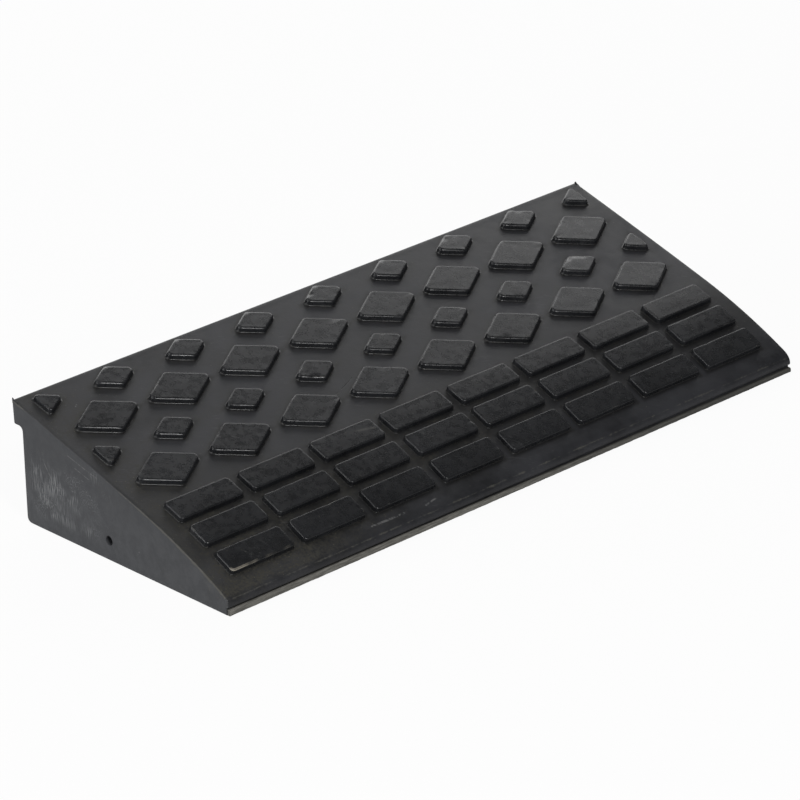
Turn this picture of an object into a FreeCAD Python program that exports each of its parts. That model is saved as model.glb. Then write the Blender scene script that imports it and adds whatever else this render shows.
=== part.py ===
import FreeCAD, Part
import math
import os

import Sketcher
from FreeCAD import Placement, Rotation, Vector

# Rubber kerb ramp. Millimetres, +X along the kerb, +Y from the toe towards the kerb, +Z up.
# The origin is under the middle of the ramp, on the ground.
# Runs are measured back from the toe, heights up from the ground.

driving = {
    "rampLength": 600,
    "rampDepth": 249,
    "rampHeight": 101.6,  # of the deck at the kerb edge
    "bendRun": 98,  # where the steeper front of the deck meets the flatter back
    "bendRise": 7.6,  # of the bend above a straight line from the toe to the kerb edge
    "backCrown": 0.6,  # degrees between the back stretch's chord and its tangent at the bend
    "toeHeight": 13.5,
    "toeSetback": 1.5,  # of the deck skin behind the moulding strip
    "toeRadius": 3.5,
    "stripHeight": 5.5,
    "stripDepth": 6,
    "solidToe": 14,  # how far back from the toe the hollow starts
    "deckThickness": 12,
    "wallThickness": 12,
    "heelRadius": 6,
    "nosingOverhang": 10,
    "nosingDrop": 20.5,
    "nosingRadius": 1.5,
    "coveRadius": 5,
    "ribThickness": 10,
    "holeRadius": 4,  # joining holes through the end walls
    "holeRun": 140,
    "holeHeight": 17,
    "endMargin": 12.5,  # from each end to the first pad centre line
    "backMargin": 19.2,  # from the kerb edge to the last row of pads
    "bendToDiamonds": 25.9,
    "bendToBars": 15.1,
    "barRowSpacing": 28,
    "padHeight": 4.4,
    "padRoot": 1,  # sunk into the deck before it is trimmed to the deck's curve
    "padDraft": 12,  # degrees
    "padCorner": 4,
    "padBevel": 1.6,
    "largeGap": 4.6,  # between the tips of neighbouring large diamonds
    "largeHalfWidth": 21.3,
    "smallHalfLength": 22.2,
    "smallHalfWidth": 14.1,
    "barGap": 8.7,
    "barHalfWidth": 11.6,
}
columns = 8
crossRibs = 5
endSlack = 20  # how far a cutting block stands past what it cuts


class Size:
    """A number together with the sheet formula that gives it."""

    def __init__(self, value, formula):
        self.value = value
        self.formula = formula

    def __add__(self, other):
        other = asSize(other)
        return Size(self.value + other.value, "(%s + %s)" % (self.formula, other.formula))

    def __sub__(self, other):
        other = asSize(other)
        return Size(self.value - other.value, "(%s - %s)" % (self.formula, other.formula))

    def __mul__(self, other):
        other = asSize(other)
        return Size(self.value * other.value, "(%s * %s)" % (self.formula, other.formula))

    def __truediv__(self, other):
        other = asSize(other)
        return Size(self.value / other.value, "(%s / %s)" % (self.formula, other.formula))

    def __neg__(self):
        return self * -1


def asSize(number):
    return number if isinstance(number, Size) else Size(number, "%.9g" % number)


doc = FreeCAD.newDocument("kerb_ramp")
sheet = doc.addObject("Spreadsheet::Sheet", "Sizes")
size = {}
for row, (alias, number) in enumerate(driving.items(), 1):
    sheet.set("A%d" % row, alias)
    sheet.set("B%d" % row, "%.9g" % number)
    sheet.setAlias("B%d" % row, alias)
    size[alias] = Size(number, "Sizes." + alias)
doc.recompute()

zero = asSize(0)
toe = size["rampDepth"] * -0.5  # Y of the front edge
toeToBend = (size["bendRun"] - size["toeSetback"]) / (size["rampDepth"] - size["toeSetback"])
straightRise = (size["rampHeight"] - size["toeHeight"]) * toeToBend
bendHeight = size["toeHeight"] + straightRise + size["bendRise"]
wallBack = size["rampDepth"] - size["nosingOverhang"]
wallFront = wallBack - size["wallThickness"]
nosingUnder = size["rampHeight"] - size["nosingDrop"]
wallTop = nosingUnder - size["coveRadius"]
pitch = (size["rampLength"] - size["endMargin"] * 2) / columns


# --- the deck's two arcs, which share a tangent at the bend ---

bendPoint = Vector(driving["bendRun"], bendHeight.value)
toePoint = Vector(driving["toeSetback"], driving["toeHeight"])
kerbPoint = Vector(driving["rampDepth"], driving["rampHeight"])
backChord = kerbPoint - bendPoint
bendSlope = math.atan2(backChord.y, backChord.x) + math.radians(driving["backCrown"])
bendNormal = Vector(-math.sin(bendSlope), math.cos(bendSlope))
leanFormula = "90 deg + Sizes.backCrown * 1 deg + atan2(%s; %s)" % (
    (size["rampHeight"] - bendHeight).formula,
    (size["rampDepth"] - size["bendRun"]).formula,
)


def arcRadius(farPoint):
    """Radius of the arc that leaves the bend along its tangent and ends at farPoint."""
    reach = farPoint - bendPoint
    return -reach.dot(reach) / (2 * reach.dot(bendNormal))


frontRadius = arcRadius(toePoint)
backRadius = arcRadius(kerbPoint)
frontCentre = bendPoint - bendNormal * frontRadius
backCentre = bendPoint - bendNormal * backRadius


def deckAt(run):
    """Height and slope angle of the deck at a run from the toe."""
    onFront = run < driving["bendRun"]
    centre = frontCentre if onFront else backCentre
    radius = frontRadius if onFront else backRadius
    rise = math.sqrt(radius**2 - (run - centre.x) ** 2)
    return centre.y + rise, math.atan2(centre.x - run, rise)


def arcAngle(centre, point):
    return math.atan2(point.y - centre.y, point.x - centre.x)


def arcBetween(centre, start, end):
    """Counter-clockwise arc about centre from start to end."""
    circle = Part.Circle(centre, Vector(0, 0, 1), centre.distanceToPoint(start))
    return Part.ArcOfCircle(circle, arcAngle(centre, start), arcAngle(centre, end))


# --- sketch helpers ---


def newSketch(body, name, role):
    sketch = body.newObject("Sketcher::SketchObject", name)
    plane = next(feature for feature in body.Origin.OriginFeatures if feature.Role == role)
    sketch.AttachmentSupport = [(plane, "")]
    sketch.MapMode = "FlatFace"
    return sketch


def bind(sketch, constraint, formula):
    index = sketch.addConstraint(constraint)
    sketch.setExpression("Constraints[%d]" % index, formula)


def bindPoint(sketch, edge, end, across, up):
    """Ties one end of an edge to two sizes, or to an axis where the size is zero."""
    for kind, axis, place in (("DistanceX", -2, across), ("DistanceY", -1, up)):
        if place.value == 0:
            sketch.addConstraint(Sketcher.Constraint("PointOnObject", edge, end, axis))
        else:
            bind(sketch, Sketcher.Constraint(kind, -1, 1, edge, end, place.value), place.formula)


def join(sketch, first, firstEnd, second, secondEnd):
    sketch.addConstraint(Sketcher.Constraint("Coincident", first, firstEnd, second, secondEnd))


def closedOutline(sketch, corners):
    """Straight-sided closed outline whose corners are pairs of sizes."""
    points = [Vector(across.value, up.value) for across, up in corners]
    count = len(points)
    for index in range(count):
        sketch.addGeometry(Part.LineSegment(points[index], points[(index + 1) % count]))
    for index, (across, up) in enumerate(corners):
        join(sketch, index, 2, (index + 1) % count, 1)
        bindPoint(sketch, index, 1, across, up)


def deckCurves(sketch, construction):
    """Outer deck arcs (0 front, 1 back) and the line through the deck at the bend (2)."""
    underBend = bendPoint - bendNormal * driving["deckThickness"]
    sketch.addGeometry(arcBetween(frontCentre, bendPoint, toePoint), construction)
    sketch.addGeometry(arcBetween(backCentre, kerbPoint, bendPoint), construction)
    sketch.addGeometry(Part.LineSegment(underBend, bendPoint), True)
    join(sketch, 0, 1, 2, 2)
    join(sketch, 1, 2, 2, 2)
    sketch.addConstraint(Sketcher.Constraint("PointOnObject", 0, 3, 2))
    sketch.addConstraint(Sketcher.Constraint("PointOnObject", 1, 3, 2))
    bindPoint(sketch, 2, 2, size["bendRun"], bendHeight)
    bindPoint(sketch, 0, 2, size["toeSetback"], size["toeHeight"])
    bindPoint(sketch, 1, 1, size["rampDepth"], size["rampHeight"])
    thickness = Sketcher.Constraint("Distance", 2, driving["deckThickness"])
    bind(sketch, thickness, size["deckThickness"].formula)
    bind(sketch, Sketcher.Constraint("Angle", 2, math.pi / 2 + bendSlope), leanFormula)


def lines(sketch, corners):
    """Chain of lines through pairs of sizes; returns the edge numbers."""
    points = [Vector(across.value, up.value) for across, up in corners]
    edges = []
    for start, end in zip(points, points[1:]):
        edges.append(sketch.addGeometry(Part.LineSegment(start, end)))
    return edges


def padAlong(body, sketch):
    """Extrudes a profile over the ramp's whole length."""
    block = body.newObject("PartDesign::Pad", sketch.Name + "_pad")
    block.Profile = sketch
    block.SideType = "Symmetric"
    block.setExpression("Length", size["rampLength"].formula)
    doc.recompute()
    return block


def edgesAt(shape, corner):
    """Names of the lengthwise edges that run through a corner of the profile."""
    found = []
    for index, edge in enumerate(shape.Edges, 1):
        middle = edge.CenterOfMass
        if abs(middle.x) < 1 and math.hypot(middle.y - corner.x, middle.z - corner.y) < 0.01:
            found.append("Edge%d" % index)
    return found


def roundEdges(body, base, name, edges, radius):
    fillet = body.newObject("PartDesign::Fillet", name)
    fillet.Base = (base, edges)
    fillet.setExpression("Radius", radius.formula)
    doc.recompute()
    return fillet


def seatAtToe(body):
    body.setExpression("Placement.Base.y", toe.formula)


# --- the whole outside of the moulding ---


def makeOutside():
    body = doc.addObject("PartDesign::Body", "outside")
    sketch = newSketch(body, "outside_profile", "YZ_Plane")
    deckCurves(sketch, False)
    toeFoot = (size["toeSetback"], zero)
    lipBack = (size["rampDepth"], nosingUnder)
    coveStart = (wallBack + size["coveRadius"], nosingUnder)
    coveEnd = (wallBack, wallTop)
    heel = (wallBack, zero)
    front = lines(sketch, [toeFoot, (size["toeSetback"], size["toeHeight"])])[0]
    back, under = lines(sketch, [(size["rampDepth"], size["rampHeight"]), lipBack, coveStart])
    coveCentre = Vector(coveStart[0].value, wallTop.value)
    cove = sketch.addGeometry(
        arcBetween(
            coveCentre,
            Vector(coveStart[0].value, nosingUnder.value),
            Vector(wallBack.value, wallTop.value),
        )
    )
    wall, base = lines(sketch, [coveEnd, heel, toeFoot])
    join(sketch, front, 2, 0, 2)
    join(sketch, 1, 1, back, 1)
    join(sketch, back, 2, under, 1)
    join(sketch, under, 2, cove, 1)
    join(sketch, cove, 2, wall, 1)
    join(sketch, wall, 2, base, 1)
    join(sketch, base, 2, front, 1)
    bindPoint(sketch, front, 1, *toeFoot)
    bindPoint(sketch, back, 2, *lipBack)
    bindPoint(sketch, under, 2, *coveStart)
    bindPoint(sketch, wall, 1, *coveEnd)
    bindPoint(sketch, wall, 2, *heel)
    bend = Sketcher.Constraint("Radius", cove, driving["coveRadius"])
    bind(sketch, bend, size["coveRadius"].formula)
    block = padAlong(body, sketch)
    heelEdge = edgesAt(block.Shape, Vector(wallBack.value, 0))
    block = roundEdges(body, block, "outside_heel", heelEdge, size["heelRadius"])
    toeEdge = edgesAt(block.Shape, toePoint)
    block = roundEdges(body, block, "outside_toe", toeEdge, size["toeRadius"])
    lipCorner = Vector(driving["rampDepth"], nosingUnder.value)
    lipEdges = edgesAt(block.Shape, kerbPoint) + edgesAt(block.Shape, lipCorner)
    roundEdges(body, block, "outside_nosing", lipEdges, size["nosingRadius"])
    seatAtToe(body)
    return body


# --- everything under the deck: the hollow, its ribs and the walls round it ---


def makeInside():
    body = doc.addObject("PartDesign::Body", "inside")
    sketch = newSketch(body, "inside_profile", "YZ_Plane")
    deckCurves(sketch, True)
    thickness = driving["deckThickness"]
    underBend = bendPoint - bendNormal * thickness
    frontStart = frontCentre.x - math.sqrt((frontRadius - thickness) ** 2 - frontCentre.y**2)
    backRise = math.sqrt((backRadius - thickness) ** 2 - (wallFront.value - backCentre.x) ** 2)
    frontFoot = Vector(frontStart, 0)
    backTop = Vector(wallFront.value, backCentre.y + backRise)
    front = sketch.addGeometry(arcBetween(frontCentre, underBend, frontFoot))
    back = sketch.addGeometry(arcBetween(backCentre, backTop, underBend))
    shelf = (wallFront, wallTop)
    outer = (wallBack, wallTop)
    heel = (wallBack, zero)
    drop = sketch.addGeometry(Part.LineSegment(backTop, Vector(wallFront.value, wallTop.value)))
    top, wall = lines(sketch, [shelf, outer, heel])
    base = sketch.addGeometry(Part.LineSegment(Vector(wallBack.value, 0), frontFoot))
    join(sketch, front, 3, 0, 3)
    join(sketch, back, 3, 1, 3)
    join(sketch, front, 1, 2, 1)
    join(sketch, back, 2, 2, 1)
    join(sketch, back, 1, drop, 1)
    join(sketch, drop, 2, top, 1)
    join(sketch, top, 2, wall, 1)
    join(sketch, wall, 2, base, 1)
    join(sketch, base, 2, front, 2)
    sketch.addConstraint(Sketcher.Constraint("Vertical", drop))
    sketch.addConstraint(Sketcher.Constraint("Horizontal", base))
    bindPoint(sketch, drop, 2, *shelf)
    bindPoint(sketch, top, 2, *outer)
    bindPoint(sketch, wall, 2, *heel)
    block = padAlong(body, sketch)
    heelEdge = edgesAt(block.Shape, Vector(wallBack.value, 0))
    roundEdges(body, block, "inside_heel", heelEdge, size["heelRadius"])
    seatAtToe(body)
    return body


# --- boxes and booleans ---


def makeBox(name, low, spans):
    """Box from its low corner and its three spans; runs are given from the toe."""
    box = doc.addObject("Part::Box", name)
    for side, span in zip(("Length", "Width", "Height"), spans):
        box.setExpression(side, asSize(span).formula)
    x, run, height = (asSize(place) for place in low)
    box.setExpression("Placement.Base.x", x.formula)
    box.setExpression("Placement.Base.y", (toe + run).formula)
    box.setExpression("Placement.Base.z", height.formula)
    return box


def makeCommon(name, *shapes):
    common = doc.addObject("Part::MultiCommon", name)
    common.Shapes = list(shapes)
    return common


def makeCut(name, base, tool):
    cut = doc.addObject("Part::Cut", name)
    cut.Base = base
    cut.Tool = tool
    return cut


halfLength = size["rampLength"] * 0.5
fullLength = size["rampLength"] + 2 * endSlack
fullHeight = size["rampHeight"] + 2 * endSlack
fullRun = size["rampDepth"] + 2 * endSlack
lengthStart = -halfLength - endSlack


def makeBehindBend():
    """Block that covers all of the ramp behind the line through the deck at the bend."""
    reach = driving["rampHeight"] + endSlack
    box = doc.addObject("Part::Box", "behind_bend")
    box.setExpression("Length", fullLength.formula)
    box.setExpression("Width", (fullRun * 2).formula)
    box.setExpression("Height", ((size["rampHeight"] + endSlack) * 2).formula)
    corner = bendPoint - bendNormal * reach
    place = Vector(lengthStart.value, toe.value + corner.x, corner.y)
    box.Placement = Placement(place, Rotation(Vector(1, 0, 0), math.degrees(bendSlope)))
    return box


def makeHollow(inside):
    toeBlock = makeBox(
        "solid_toe_zone",
        (lengthStart, -endSlack, -endSlack),
        (fullLength, size["solidToe"] + endSlack, fullHeight),
    )
    return makeCut("hollow_behind_toe", inside, toeBlock)


def makeDeckPieces(outside, inside):
    shell = makeCut("deck_shell", outside, inside)
    behind = makeBehindBend()
    aheadOfWall = makeBox(
        "ahead_of_wall",
        (lengthStart, -endSlack, -endSlack),
        (fullLength, wallFront + endSlack, fullHeight),
    )
    strip = makeBox(
        "toe_moulding_strip",
        (-halfLength, 0, 0),
        (size["rampLength"], size["stripDepth"], size["stripHeight"]),
    )
    behindShell = makeCommon("shell_behind_bend", shell, behind)
    aheadShell = makeCut("shell_ahead_of_bend", shell, behind)
    return {
        "back_deck": makeCommon("back_deck_solid", behindShell, aheadOfWall),
        "front_deck": makeCut("front_deck_solid", aheadShell, strip),
        "kerb_nosing": makeCut("kerb_nosing_solid", behindShell, aheadOfWall),
        "toe_strip": strip,
    }


def makeEndWall(name, start, inside):
    slab = makeBox(
        name + "_slab",
        (start, -endSlack, -endSlack),
        (size["wallThickness"], fullRun, fullHeight),
    )
    wall = makeCommon(name + "_blank", slab, inside)
    drill = doc.addObject("Part::Cylinder", name + "_drill")
    drill.setExpression("Radius", size["holeRadius"].formula)
    drill.setExpression("Height", (size["wallThickness"] + 2 * endSlack).formula)
    drill.Placement.Rotation = Rotation(Vector(0, 1, 0), 90)
    drill.setExpression("Placement.Base.x", (start - endSlack).formula)
    drill.setExpression("Placement.Base.y", (toe + size["holeRun"]).formula)
    drill.setExpression("Placement.Base.z", size["holeHeight"].formula)
    return makeCut(name + "_solid", wall, drill)


innerStart = size["wallThickness"] - halfLength
innerLength = size["rampLength"] - size["wallThickness"] * 2
bay = (innerLength - size["ribThickness"] * crossRibs) / (crossRibs + 1)


def makeWallsAndRibs(inside):
    pieces = {
        "left_end_wall": makeEndWall("left_end_wall", -halfLength, inside),
        "right_end_wall": makeEndWall("right_end_wall", halfLength - size["wallThickness"], inside),
    }
    wallZone = makeBox(
        "kerb_wall_zone",
        (innerStart, wallFront, -endSlack),
        (innerLength, size["wallThickness"] + endSlack, fullHeight),
    )
    pieces["kerb_wall"] = makeCommon("kerb_wall_solid", wallZone, inside)
    step = bay + size["ribThickness"]
    for index in range(crossRibs):
        name = "cross_rib_%d" % (index + 1)
        ribZone = makeBox(
            name + "_zone",
            (innerStart + bay + step * index, -endSlack, -endSlack),
            (size["ribThickness"], wallFront + endSlack, fullHeight),
        )
        pieces[name] = makeCommon(name + "_solid", ribZone, inside)
    middleRun = (size["bendRun"] + wallFront - size["ribThickness"]) * 0.5
    for index in range(crossRibs + 1):
        name = "long_rib_bay_%d" % (index + 1)
        ribZone = makeBox(
            name + "_zone",
            (innerStart + step * index, middleRun, -endSlack),
            (bay, size["ribThickness"], fullHeight),
        )
        pieces[name] = makeCommon(name + "_solid", ribZone, inside)
    return pieces


# --- raised pads of the tread ---

largeHalfLength = (pitch - size["largeGap"]) * 0.5
barHalfLength = (pitch - size["barGap"]) * 0.5


def diamond(halfLength, halfWidth):
    return [(-halfLength, zero), (zero, -halfWidth), (halfLength, zero), (zero, halfWidth)]


def halfDiamond(halfLength, halfWidth, side):
    """Half of a diamond; side is +1 where its point faces +X."""
    return [(zero, -halfWidth), (halfLength * side, zero), (zero, halfWidth)]


def bar(halfLength, halfWidth):
    return [
        (-halfLength, -halfWidth),
        (halfLength, -halfWidth),
        (halfLength, halfWidth),
        (-halfLength, halfWidth),
    ]


largeDiamond = diamond(largeHalfLength, size["largeHalfWidth"])
smallDiamond = diamond(size["smallHalfLength"], size["smallHalfWidth"])
leftHalf = halfDiamond(size["smallHalfLength"], size["smallHalfWidth"], 1)
rightHalf = halfDiamond(size["smallHalfLength"], size["smallHalfWidth"], -1)
treadBar = bar(barHalfLength, size["barHalfWidth"])


def makePad(name, corners, x, run, outside):
    """Drafted, bevelled pad that stands square to the deck and is trimmed to its curve."""
    body = doc.addObject("PartDesign::Body", name + "_blank")
    sketch = newSketch(body, name + "_footprint", "XY_Plane")
    sketch.setExpression("AttachmentOffset.Base.z", (-size["padRoot"]).formula)
    closedOutline(sketch, corners)
    block = body.newObject("PartDesign::Pad", name + "_pad")
    block.Profile = sketch
    block.setExpression("Length", (size["padHeight"] + size["padRoot"]).formula)
    block.setExpression("TaperAngle", "-Sizes.padDraft * 1 deg")
    doc.recompute()
    upright = []
    for index, edge in enumerate(block.Shape.Edges, 1):
        heights = [vertex.Z for vertex in edge.Vertexes]
        if max(heights) - min(heights) > driving["padHeight"] / 2:
            upright.append("Edge%d" % index)
    corner = roundEdges(body, block, name + "_corners", upright, size["padCorner"])
    bevel = body.newObject("PartDesign::Chamfer", name + "_bevel")
    faces = corner.Shape.Faces
    topFace = max(range(len(faces)), key=lambda index: faces[index].CenterOfMass.z)
    bevel.Base = (corner, ["Face%d" % (topFace + 1)])
    bevel.setExpression("Size", size["padBevel"].formula)
    height, angle = deckAt(run)
    turn = Rotation(Vector(1, 0, 0), math.degrees(angle))
    body.Placement = Placement(Vector(x, toe.value + run, height), turn)
    return makeCut(name + "_solid", body, outside)


def rowRuns():
    """Runs of the four diamond rows, back to front, and of the three rows of bars."""
    first = driving["rampDepth"] - driving["backMargin"]
    last = driving["bendRun"] + driving["bendToDiamonds"]
    diamonds = [first + (last - first) * index / 3 for index in range(4)]
    backBars = driving["bendRun"] - driving["bendToBars"]
    bars = [backBars - driving["barRowSpacing"] * index for index in range(3)]
    return diamonds, bars


def makePads(outside):
    pieces = {}
    start = driving["endMargin"] - driving["rampLength"] / 2
    diamonds, bars = rowRuns()
    for rowName, smallRun, largeRun in (
        ("back", diamonds[0], diamonds[1]),
        ("front", diamonds[2], diamonds[3]),
    ):
        for column in range(columns):
            name = "large_diamond_%s_%d" % (rowName, column + 1)
            x = start + pitch.value * (column + 0.5)
            pieces[name] = makePad(name, largeDiamond, x, largeRun, outside)
        for column in range(1, columns):
            name = "small_diamond_%s_%d" % (rowName, column)
            x = start + pitch.value * column
            pieces[name] = makePad(name, smallDiamond, x, smallRun, outside)
        leftName = "half_diamond_%s_left" % rowName
        rightName = "half_diamond_%s_right" % rowName
        pieces[leftName] = makePad(leftName, leftHalf, start, smallRun, outside)
        pieces[rightName] = makePad(rightName, rightHalf, -start, smallRun, outside)
    for rowName, run in zip(("back", "middle", "front"), bars):
        rowPads = []
        for column in range(columns):
            name = "bar_%s_%d" % (rowName, column + 1)
            x = start + pitch.value * (column + 0.5)
            rowPads.append(makePad(name, treadBar, x, run, outside))
        row = doc.addObject("Part::Compound", "tread_bars_%s_solids" % rowName)
        row.Links = rowPads
        pieces["tread_bars_%s_row" % rowName] = row
    return pieces


def checkDocument(pieces):
    for feature in doc.Objects:
        if "Invalid" in feature.State or "Error" in feature.State:
            raise RuntimeError("%s is %s" % (feature.Label, feature.State))
    for name, piece in pieces.items():
        if piece.Shape.isNull() or not piece.Shape.isValid() or not piece.Shape.Solids:
            raise RuntimeError("%s has no valid solid" % name)


outside = makeOutside()
inside = makeHollow(makeInside())
pieces = makeDeckPieces(outside, inside)
pieces.update(makeWallsAndRibs(inside))
pieces.update(makePads(outside))
for name, piece in pieces.items():
    piece.Label = name
doc.recompute()
checkDocument(pieces)

os.makedirs("parts", exist_ok=True)
for name, piece in pieces.items():
    piece.Shape.exportStep(os.path.join("parts", name + ".step"))
    box = piece.Shape.BoundBox
    print("%-26s %d solid(s) %9.1f mm3  X %.1f..%.1f  Y %.1f..%.1f  Z %.1f..%.1f" % (
        name, len(piece.Shape.Solids), piece.Shape.Volume,
        box.XMin, box.XMax, box.YMin, box.YMax, box.ZMin, box.ZMax,
    ))
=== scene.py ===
import math
import random

import bmesh
import bpy
import numpy as np
from mathutils import Matrix, Vector, noise
from mathutils.geometry import delaunay_2d_cdt


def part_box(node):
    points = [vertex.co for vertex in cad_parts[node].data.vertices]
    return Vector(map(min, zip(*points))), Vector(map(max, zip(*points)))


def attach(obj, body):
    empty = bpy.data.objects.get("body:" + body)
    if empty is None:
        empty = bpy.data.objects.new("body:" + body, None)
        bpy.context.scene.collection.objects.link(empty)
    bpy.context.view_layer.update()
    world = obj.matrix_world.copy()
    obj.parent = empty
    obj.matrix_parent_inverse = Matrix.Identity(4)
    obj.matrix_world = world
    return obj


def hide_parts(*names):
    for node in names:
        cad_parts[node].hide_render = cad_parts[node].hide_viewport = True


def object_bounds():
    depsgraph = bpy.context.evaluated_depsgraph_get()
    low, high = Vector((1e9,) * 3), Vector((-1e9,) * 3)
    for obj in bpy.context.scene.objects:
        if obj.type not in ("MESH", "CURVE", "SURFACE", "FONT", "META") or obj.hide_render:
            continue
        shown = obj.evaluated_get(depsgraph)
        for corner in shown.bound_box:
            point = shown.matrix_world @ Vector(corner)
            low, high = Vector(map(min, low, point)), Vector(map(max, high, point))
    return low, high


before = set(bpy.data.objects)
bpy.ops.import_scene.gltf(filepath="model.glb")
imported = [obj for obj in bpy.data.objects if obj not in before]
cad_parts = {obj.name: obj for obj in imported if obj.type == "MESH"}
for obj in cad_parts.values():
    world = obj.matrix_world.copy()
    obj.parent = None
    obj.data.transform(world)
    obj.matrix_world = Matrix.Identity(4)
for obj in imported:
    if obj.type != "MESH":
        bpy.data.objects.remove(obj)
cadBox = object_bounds()
scene = bpy.context.scene

# Lengths below are in millimetres. A run is measured back from the toe, a height up from the ground.
mm = 0.001


def boxOf(node):
    low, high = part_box(node)
    return low / mm, high / mm


halfLength = boxOf("kerb_nosing")[1].x
toeLine = boxOf("toe_strip")[0].y
depth = boxOf("kerb_nosing")[1].y - toeLine

ramp = {
    "deckHeight": 101.6,  # at the kerb edge
    "bendRun": 98.0,
    "bendRise": 7.6,  # above a straight line from the toe to the kerb edge
    "backCrown": 0.6,  # degrees
    "toeHeight": 13.5,
    "toeSetback": 1.5,
    "toeRounding": 8.0,
    "grooveTop": 7.4,  # the skin's nose stands over the moulding strip
    "grooveBottom": 5.7,
    "grooveDepth": 2.4,
    "nosingDrop": 20.5,
    "nosingRounding": 1.7,
    "overhang": 10.0,
    "cove": 5.0,
    "heel": 6.0,
    "wallLean": 3.6,  # how far the foot of the kerb wall stands out behind its top
    "edgeRounding": 0.9,  # worn round all the end edges
    "stationStep": 2.3,
    "deckStep": 2.2,
    "endSpacing": 3.2,
}


# The deck's two arcs.

toePoint = Vector((ramp["toeSetback"], ramp["toeHeight"]))
kerbPoint = Vector((depth, ramp["deckHeight"]))
straight = (kerbPoint.y - toePoint.y) / (kerbPoint.x - toePoint.x)
bendPoint = Vector((
    ramp["bendRun"],
    toePoint.y + straight * (ramp["bendRun"] - toePoint.x) + ramp["bendRise"],
))
backChord = kerbPoint - bendPoint
bendSlope = math.atan2(backChord.y, backChord.x) + math.radians(ramp["backCrown"])
bendNormal = Vector((-math.sin(bendSlope), math.cos(bendSlope)))


def arcFrom(farPoint):
    reach = farPoint - bendPoint
    radius = -reach.dot(reach) / (2 * reach.dot(bendNormal))
    return radius, bendPoint - bendNormal * radius


frontArc = arcFrom(toePoint)
backArc = arcFrom(kerbPoint)


def deckAt(run, inward=0.0):
    radius, centre = frontArc if run < ramp["bendRun"] else backArc
    rise = math.sqrt((radius - inward) ** 2 - (run - centre.x) ** 2)
    return centre.y + rise, math.atan2(centre.x - run, rise)


# Mesh helpers.


def bendBetween(start, corner, end, steps):
    points = []
    for index in range(steps + 1):
        t = index / steps
        points.append(tuple(
            a * (1 - t) ** 2 + 2 * b * t * (1 - t) + c * t * t
            for a, b, c in zip(start, corner, end)
        ))
    return points


def stepsBetween(start, end, spacing):
    count = max(1, round(math.dist(start, end) / spacing))
    return [
        tuple(a + (b - a) * index / count for a, b in zip(start, end))
        for index in range(1, count)
    ]


def makePiece(name, points, faces, material, nodes, sharpAngle=38):
    mesh = bpy.data.meshes.new(name)
    mesh.from_pydata([Vector(point) * mm for point in points], [], faces)
    piece = bpy.data.objects.new(name, mesh)
    scene.collection.objects.link(piece)
    finishPiece(piece, material, nodes, sharpAngle)
    return piece


def finishPiece(piece, material, nodes, sharpAngle=38):
    work = bmesh.new()
    work.from_mesh(piece.data)
    bmesh.ops.remove_doubles(work, verts=work.verts, dist=0.002 * mm)
    bmesh.ops.recalc_face_normals(work, faces=work.faces)
    work.to_mesh(piece.data)
    work.free()
    piece.data.shade_smooth()
    piece.data.set_sharp_from_angle(angle=math.radians(sharpAngle))
    piece.data.materials.clear()
    piece.data.materials.append(material)
    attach(piece, "root")
    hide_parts(*nodes)


def setMask(piece, name, values):
    mask = piece.data.attributes.get(name) or piece.data.attributes.new(name, "FLOAT", "POINT")
    mask.data.foreach_set("value", np.clip(np.asarray(values, np.float32), 0, 1))


def vertexPlaces(piece):
    places = np.zeros(len(piece.data.vertices) * 3, np.float32)
    piece.data.vertices.foreach_get("co", places)
    return places.reshape(-1, 3).astype(float) / mm


def bridge(faces, first, second, closed=True):
    count = len(first)
    for index in range(count if closed else count - 1):
        after = (index + 1) % count
        faces.append((first[index], first[after], second[after], second[index]))


def smoothStep(low, high, value):
    t = np.clip((value - low) / (high - low), 0, 1)
    return t * t * (3 - 2 * t)


def cloud(x, y, z, scale, seed=0.0):
    return noise.noise(Vector((x / scale + seed, y / scale - seed, z / scale + 2 * seed)))


# Shader helpers.


def addNode(tree, kind, inputs=None, **settings):
    node = tree.nodes.new("ShaderNode" + kind)
    for name, value in settings.items():
        setattr(node, name, value)
    for name, value in (inputs or {}).items():
        socket = node.inputs[name]
        if isinstance(value, bpy.types.NodeSocket):
            tree.links.new(value, socket)
        else:
            socket.default_value = value
    return node


def calc(tree, operation, *values):
    node = addNode(tree, "Math", operation=operation)
    for index, value in enumerate(values):
        if isinstance(value, bpy.types.NodeSocket):
            tree.links.new(value, node.inputs[index])
        else:
            node.inputs[index].default_value = value
    return node.outputs[0]


def ramped(tree, value, low, high, outLow=0.0, outHigh=1.0):
    node = addNode(tree, "MapRange", {
        "Value": value, "From Min": low, "From Max": high, "To Min": outLow, "To Max": outHigh,
    }, interpolation_type="SMOOTHSTEP")
    return node.outputs["Result"]


def noiseOf(tree, vector, scale, detail=3.0, roughness=0.55):
    node = addNode(tree, "TexNoise", {
        "Vector": vector, "Scale": scale, "Detail": detail, "Roughness": roughness,
    })
    return node.outputs["Fac"]


def mixColour(tree, factor, first, second):
    node = tree.nodes.new("ShaderNodeMix")
    node.data_type = "RGBA"
    for socket, value in ((node.inputs[0], factor), (node.inputs[6], first), (node.inputs[7], second)):
        if isinstance(value, bpy.types.NodeSocket):
            tree.links.new(value, socket)
        else:
            socket.default_value = value
    return node.outputs[2]


def newGroup(name, inputs, outputs):
    tree = bpy.data.node_groups.new(name, "ShaderNodeTree")
    for label, kind, value in inputs:
        socket = tree.interface.new_socket(label, in_out="INPUT", socket_type="NodeSocket" + kind)
        socket.default_value = value
    for label, kind in outputs:
        tree.interface.new_socket(label, in_out="OUTPUT", socket_type="NodeSocket" + kind)
    start = tree.nodes.new("NodeGroupInput")
    end = tree.nodes.new("NodeGroupOutput")
    return tree, start, end


def place(tree):
    return addNode(tree, "TexCoord").outputs["Object"]


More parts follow.
